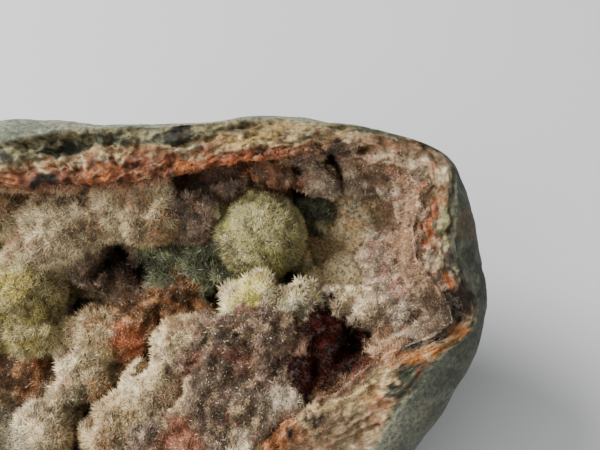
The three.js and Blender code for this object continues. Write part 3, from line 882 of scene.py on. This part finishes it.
def crust_colours(points, share):
    """Patchy colours, which run into each other between clusters, with painted shade at the
    needles' feet, in the gaps and in the dip of the rim at the right, and painted light on a few
    shaded places. Share is 0 for needles' feet and 1 for their tips."""
    warp = np.stack([clouds(points, 3.0, 180 + 9 * k, 3, 0.6) for k in range(3)], axis=1)
    one, two, first, second = nearest_clusters(points + 1.5 * warp)
    patch, blot = clouds(points, 4.0, 210, 3, 0.6), clouds(points, 1.6, 214, 3, 0.6)
    away, number = tufts(points, *TUFTS)
    edge = ease(np.linalg.norm(away, axis=1), 0.35, 0.75)
    patch, blot = patch + 0.6 * (number - 0.5), blot + 0.8 * ((7.3 * number) % 1 - 0.5)
    blend = 0.5 * ease(0.16 - (second - first), 0, 0.16)
    murk = ease(-clouds(points, 5.5, 218, 3), 0.12, 0.5)
    colour = np.zeros((len(points), 3))
    for cluster, amount in ((one, 1 - blend), (two, blend)):
        kind = ALL_KIND[cluster]
        body, other, spots, dark, light = (PALETTES[kind, k] for k in range(5))
        c = blended(body, other, ease(patch, -0.25, 0.3))
        c = blended(c, spots, 0.9 * ease(patch, 0.36, 0.6))
        c = blended(c, dark, 0.9 * ease(-blot, 0.2, 0.6))
        c = blended(c, dark, murk * np.clip(LUMPS[kind] - 0.6, 0, 0.8))
        c = blended(c, light, 0.7 * ease(blot, 0.2, 0.6))
        # painted shade: the needles' feet and the ground between them are darkened, most at the
        # edges of the tufts, where the tufts meet
        foot = (0.85 - (0.22 + 0.28 * edge) * SPRAY[kind])[:, None] * c
        tip = c + 0.35 * (light - c)
        colour += blended(foot, tip, share) * amount[:, None]
    # stains, and patches of painted shade and painted light
    for rgb, (x, y, radius) in STAINS_SHADE_AND_LIGHT:
        gap = np.hypot(points[:, 0] - x, points[:, 1] - y) / radius + 0.5 * blot
        colour = painted(colour, rgb, ease(gap, 1.15, 0.6) * (0.45 + 0.4 * share))
    shade = np.ones(len(points))
    for gx, gy, radius, bottom in GAPS:
        gap = np.hypot(points[:, 0] - gx, points[:, 1] - gy) - radius
        shade *= 1 - 0.8 * ease(1.0 - gap, 0, 1.2) * ease(-points[:, 2], -2 - bottom / 2, -bottom)
    hollow = Hollow(*points.T)
    inward = hollow.mouth - hollow.radius
    # painted shade where the crust meets the dip in the rim at the right
    recess_shade = ease(facing(hollow.angle, 8, 4.5), 0.2, 0.7)
    recess_shade = recess_shade * ease(hollow.radius + blot, 40, 42.5)
    stain = facing(hollow.angle, 100, 40) * ease(inward - blot, 3.0, 0.8)
    pink = hollow.flush * ease(inward + 1.5 * patch, 3.0, 0.5) * (1 - recess_shade)
    brown = facing(hollow.angle, 24, 13) * ease(inward + patch, 7, 3)
    red = facing(hollow.angle, -1, 8) * ease(hollow.radius, 41, 37) * ease(patch, 0.1, 0.35)
    layers = [
        # painted shade by the dip in the rim at the right
        [(58, 44, 35), 0.95 * recess_shade * (1 - 0.3 * share)],
        [(136, 80, 58), 0.75 * stain],
        [(176, 144, 116), 0.6 * pink * (0.3 + 0.7 * share)],
        [(140, 84, 62), pink * ease(blot, 0.25, 0.5) * 0.8],
        [(126, 98, 76), 0.8 * brown],
        [(96, 44, 36), 0.45 * red * (1 - 0.5 * share)],
    ]
    return np.clip(layered(colour, layers) * shade[:, None], 0, 1)


def build_crust():
    points, quads = crust_surface()
    colours = crust_colours(points, np.full(len(points), 0.35))
    made = mesh_object("crust_ground", to_row(points), quads, colours)
    shade_smooth(made)
    return made, points, quads


# The needles

NEEDLE_PIECES = ["needles_left", "needles_middle_left", "needles_middle_right", "needles_right"]


def spikes_at(foot, aim, length, width):
    """Three-sided spikes, each as three corners at its foot and its tip."""
    tip = foot + aim * length[:, None]
    foot = foot - aim * NEEDLE_ROOT
    side = normalised(np.cross(aim, RANDOM.normal(0, 1, aim.shape)))
    other = np.cross(aim, side)
    corners = []
    for k in range(3):
        turn = 2 * math.pi * k / 3
        turned = side * math.cos(turn) + other * math.sin(turn)
        corners.append(foot + turned * (width / 2)[:, None])
    return np.stack([*corners, tip], axis=1)


def rim_needles():
    """Crystals on the rim's inner part, where the crust comes up to it."""
    angle = np.radians(FLUSH[0] + FLUSH[1] * RANDOM.normal(0, 0.55, RIM_NEEDLES))
    _, outer, mouth = edges_round(angle)
    share = np.abs(RANDOM.normal(0, 0.2, RIM_NEEDLES)).clip(0, 0.7)
    foot = broken_rim(angle, outer, mouth, share, np.zeros(RIM_NEEDLES))
    away, number = tufts(foot, *TUFTS)
    kept = number > 1.6 * share - 0.1
    aim = np.array([0, 0, 1.0]) + 1.2 * away + RANDOM.normal(0, 0.5, foot.shape)
    aim += 0.5 * (STONE_MIDDLE - foot) / 40
    length = 0.35 + 0.5 * RANDOM.random(RIM_NEEDLES) * (1 - share)
    width = 0.12 + 0.12 * RANDOM.random(RIM_NEEDLES)
    colour = rim_colours(angle, outer - mouth, share, foot)
    pale = facing(angle, FLUSH[0], 28) * (0.1 + 0.4 * RANDOM.random(RIM_NEEDLES))
    high = painted(colour, (232, 218, 200), pale)
    spikes = spikes_at(foot, normalised(aim), length, width)
    # painted shade: the needles' feet are 0.7 as bright as the rim colour, their tips paler
    colours = np.stack([colour * 0.7] * 3 + [high], axis=1)
    return spikes[kept], colours[kept]


def build_needles(points, quads):
    """The crust's needles and the rim's, in pieces from left to right."""
    tris = np.concatenate([quads[:, [0, 1, 2]], quads[:, [0, 2, 3]]])
    a, b, c = (points[tris[:, k]] for k in range(3))
    cross = np.cross(b - a, c - a)
    area = np.linalg.norm(cross, axis=1) / 2
    normals = np.zeros_like(points)
    for k in range(3):
        for j in range(3):
            normals[:, j] += np.bincount(tris[:, k], cross[:, j], len(points))
    normals = normalised(normals)
    middle = (a + b + c) / 3
    one = nearest_clusters(middle)[0]
    seen = Hollow(*middle.T).space() > CRUST_BACK
    weight = area * DENSITY[ALL_KIND[one]] * seen
    chosen = RANDOM.choice(len(tris), NEEDLES, p=weight / weight.sum())
    u, v = RANDOM.random(NEEDLES), RANDOM.random(NEEDLES)
    flip = u + v > 1
    u[flip], v[flip] = 1 - u[flip], 1 - v[flip]
    t = tris[chosen]
    w = np.stack([1 - u - v, u, v], axis=1)
    foot = np.einsum("nk,nkc->nc", w, points[t])
    aim = np.einsum("nk,nkc->nc", w, normals[t])
    kind = ALL_KIND[nearest_clusters(foot)[0]]
    away = tufts(foot, *TUFTS)[0]
    away -= np.sum(away * aim, axis=1, keepdims=True) * aim
    out = np.linalg.norm(away, axis=1)
    aim = normalised(aim) + 1.6 * away * SPRAY[kind][:, None]
    aim = normalised(aim + RANDOM.normal(0, 0.6, aim.shape) * SPREAD[kind][:, None])
    length = LENGTH[kind] * (0.4 + 1.1 * RANDOM.random(NEEDLES) ** 1.5) * (1.25 - 0.7 * out)
    width = WIDTH[kind] * (0.6 + 0.8 * RANDOM.random(NEEDLES))
    spikes = spikes_at(foot, aim, length, width)
    low = crust_colours(foot, np.full(NEEDLES, 0.3))
    high = crust_colours(foot, 0.4 + 0.6 * RANDOM.random(NEEDLES))
    high *= (0.75 + 0.45 * RANDOM.random(NEEDLES))[:, None]
    # painted highlights: a few needles' tips made near white
    glint = (RANDOM.random(NEEDLES) < GLINTS) & (kind != DARK_RED)
    high[glint] = painted(high[glint], (250, 244, 230), np.full(glint.sum(), 0.7))
    colours = np.stack([low, low, low, high], axis=1)
    more, more_colours = rim_needles()
    spikes, colours = np.concatenate([spikes, more]), np.concatenate([colours, more_colours])
    order = np.argsort(spikes[:, 3, 0])
    made = []
    for name, mine in zip(NEEDLE_PIECES, np.array_split(order, len(NEEDLE_PIECES))):
        base = np.arange(len(mine))[:, None] * 4
        sides = [base + [0, 1, 3], base + [1, 2, 3], base + [2, 0, 3]]
        faces = np.stack(sides, axis=1).reshape(-1, 3)
        row = to_row(spikes[mine].reshape(-1, 3))
        made.append(mesh_object(name, row, faces, colours[mine].reshape(-1, 3)))
    return made


# Materials


class Shader:
    """A node material, built by adding nodes by type."""

    def __init__(self, name):
        self.material = bpy.data.materials.new(name)
        self.material.use_nodes = True
        self.tree = self.material.node_tree
        self.tree.nodes.clear()
        self.surface = self.add("ShaderNodeBsdfPrincipled", {})
        self.add("ShaderNodeOutputMaterial", {"Surface": self.surface.outputs[0]})
        place = self.add("ShaderNodeTexCoord", {}).outputs["Object"]
        sockets = {0: place, "Scale": 1 / MM}
        self.place = self.add("ShaderNodeVectorMath", sockets, operation="SCALE").outputs[0]

    def add(self, kind, sockets, **settings):
        """A new node with its own settings and what goes into its sockets."""
        node = self.tree.nodes.new(kind)
        for key, value in settings.items():
            setattr(node, key, value)
        self.fill(node, sockets)
        return node

    def fill(self, node, sockets):
        for key, value in sockets.items():
            socket = node.inputs[key]
            if hasattr(value, "is_output"):
                self.tree.links.new(value, socket)
            elif isinstance(value, tuple):
                socket.default_value = (*linear(value), 1)
            else:
                socket.default_value = value

    def noise(self, size, detail, rough):
        sockets = {"Vector": self.place, "Scale": 1 / size, "Detail": detail, "Roughness": rough}
        return self.add("ShaderNodeTexNoise", sockets).outputs["Fac"]

    def tint(self):
        return self.add("ShaderNodeAttribute", {}, attribute_name="tint").outputs["Color"]

    def math(self, operation, a, b):
        return self.add("ShaderNodeMath", {0: a, 1: b}, operation=operation).outputs[0]

    def span(self, value, low, high):
        sockets = {"Value": value, "From Min": low, "From Max": high}
        node = self.add("ShaderNodeMapRange", sockets, interpolation_type="SMOOTHSTEP")
        return node.outputs["Result"]

    def mix(self, share, a, b, mode="MIX"):
        sockets = {0: share, 6: a, 7: b}
        return self.add("ShaderNodeMix", sockets, data_type="RGBA", blend_type=mode).outputs[2]

    def bump(self, height, depth):
        sockets = {"Strength": 1.0, "Distance": depth * MM, "Height": height}
        node = self.add("ShaderNodeBump", sockets)
        self.fill(self.surface, {"Normal": node.outputs[0]})

    def look(self, colour, roughness, gloss):
        looks = {"Base Color": colour, "Roughness": roughness, "Specular IOR Level": gloss}
        self.fill(self.surface, looks)


def grained(name, size, darkest, palest, roughness, gloss, depth):
    """A surface in its points' tint, with a fine grain in its colour and its relief."""
    s = Shader(name)
    grain = s.noise(size, 5, 0.7)
    shade = s.mix(s.span(grain, 0.32, 0.68), darkest, palest)
    s.look(s.mix(1.0, s.tint(), shade, "MULTIPLY"), roughness, gloss)
    s.bump(s.math("ADD", s.noise(size / 3, 3, 0.6), s.math("MULTIPLY", grain, 1.6)), depth)
    return s.material


def needle_material():
    """Needles in their points' tint. The dark ones shine less, so that they stay dark."""
    s = Shader("aragonite_needles")
    s.look(s.tint(), 0.4, s.math("MULTIPLY", s.span(s.tint(), 0.0, 0.15), 0.4))
    return s.material


def floor_material():
    s = Shader("paper")
    s.surface.inputs["Base Color"].default_value = PAPER_COLOUR
    s.surface.inputs["Roughness"].default_value = 0.9
    return s.material


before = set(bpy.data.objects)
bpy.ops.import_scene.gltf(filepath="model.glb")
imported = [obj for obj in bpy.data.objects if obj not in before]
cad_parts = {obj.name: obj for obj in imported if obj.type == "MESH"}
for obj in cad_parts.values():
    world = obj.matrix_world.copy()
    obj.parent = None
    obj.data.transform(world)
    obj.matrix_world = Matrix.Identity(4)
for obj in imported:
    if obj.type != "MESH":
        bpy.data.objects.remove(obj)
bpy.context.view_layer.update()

stone = build_stone()
stone.data.materials.append(
    grained("weathered_stone", 0.7, (150, 150, 148), (255, 255, 255), 0.75, 0.35, 0.14)
)
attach(stone, "root")
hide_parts("host_stone")

ground, ground_points, ground_quads = build_crust()
ground.data.materials.append(
    grained("crust_ground", 0.5, (110, 110, 110), (255, 255, 255), 0.7, 0.4, 0.12)
)
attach(ground, "root")
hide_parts("crystal_crust")

needle_look = needle_material()
for piece in build_needles(ground_points, ground_quads):
    piece.data.materials.append(needle_look)
    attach(piece, "root")


# Floor, light and camera

bpy.ops.mesh.primitive_plane_add(size=FLOOR_SIZE, location=(0, 0, 0))
floor = bpy.context.object
floor.name = "floor"
floor.data.materials.append(floor_material())

world = bpy.data.worlds.new("studio")
bpy.context.scene.world = world
world.use_nodes = True
sky = world.node_tree.nodes["Background"].inputs
sky[0].default_value = SKY_COLOUR
sky[1].default_value = SKY_STRENGTH


def area_light(name, place, size, power):
    data = bpy.data.lights.new(name, "AREA")
    data.shape = "DISK"
    data.size = size
    data.energy = power
    data.color = LIGHT_COLOUR
    made = placed(name, data)
    made.location = place
    aim = Vector(LIT_POINT) - Vector(place)
    made.rotation_euler = aim.to_track_quat("-Z", "Y").to_euler()


for light_name, (place, size, power) in LIGHTS.items():
    area_light(light_name, place, size, power)

camera_data = bpy.data.cameras.new("camera")
camera_data.lens = CAMERA_LENS
camera_data.sensor_width = CAMERA_SENSOR
camera_data.clip_start = 0.005
camera = placed("camera", camera_data)
look_at = Vector(to_row(np.zeros((1, 3)))[0])
back = Vector((0, -math.cos(CAMERA_ELEVATION), math.sin(CAMERA_ELEVATION)))
camera.location = look_at + back * CAMERA_DISTANCE
camera.rotation_euler = (-back).to_track_quat("-Z", "Y").to_euler()
bpy.context.scene.camera = camera
